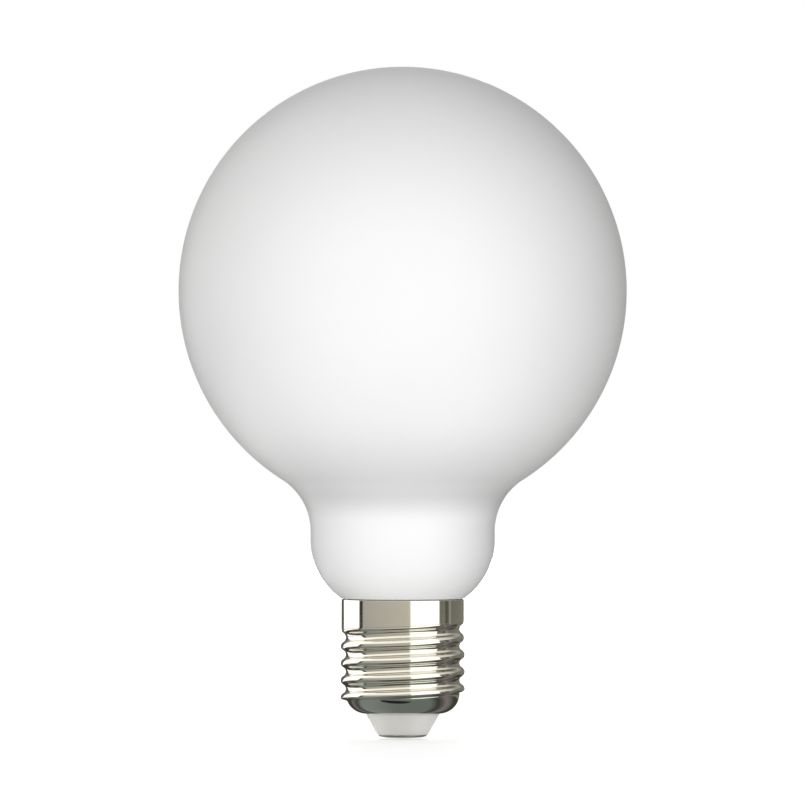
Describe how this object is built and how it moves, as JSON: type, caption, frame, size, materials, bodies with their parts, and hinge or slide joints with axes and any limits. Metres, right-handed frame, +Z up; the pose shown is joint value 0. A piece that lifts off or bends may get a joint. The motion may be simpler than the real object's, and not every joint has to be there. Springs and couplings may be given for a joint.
{
  "type": "globe bulb",
  "caption": "Opal glass globe lamp with a waisted neck on a screw cap with a white insulator cone and a domed centre contact.",
  "frame": {"origin": "centre of the centre contact's flat, the lowest point of the bulb", "axes": "+Z up the bulb's axis from the contact to the top of the globe; -Y is the front, where the thread rises to the right"},
  "size_m": [0.095, 0.095, 0.1422],
  "materials": {
    "opal_glass": "opal white, satin",
    "nickel_plated_brass": "bright nickel plating",
    "cement": "baked lamp cement, matt",
    "white_insulation": "white moulding, satin",
    "contact_metal": "dull tin plating"
  },
  "bodies": {
    "root": {"globe": "opal_glass", "screw_shell": "nickel_plated_brass", "cap_cement": "cement", "insulator": "white_insulation", "centre_contact": "contact_metal"}
  },
  "joints": []
}
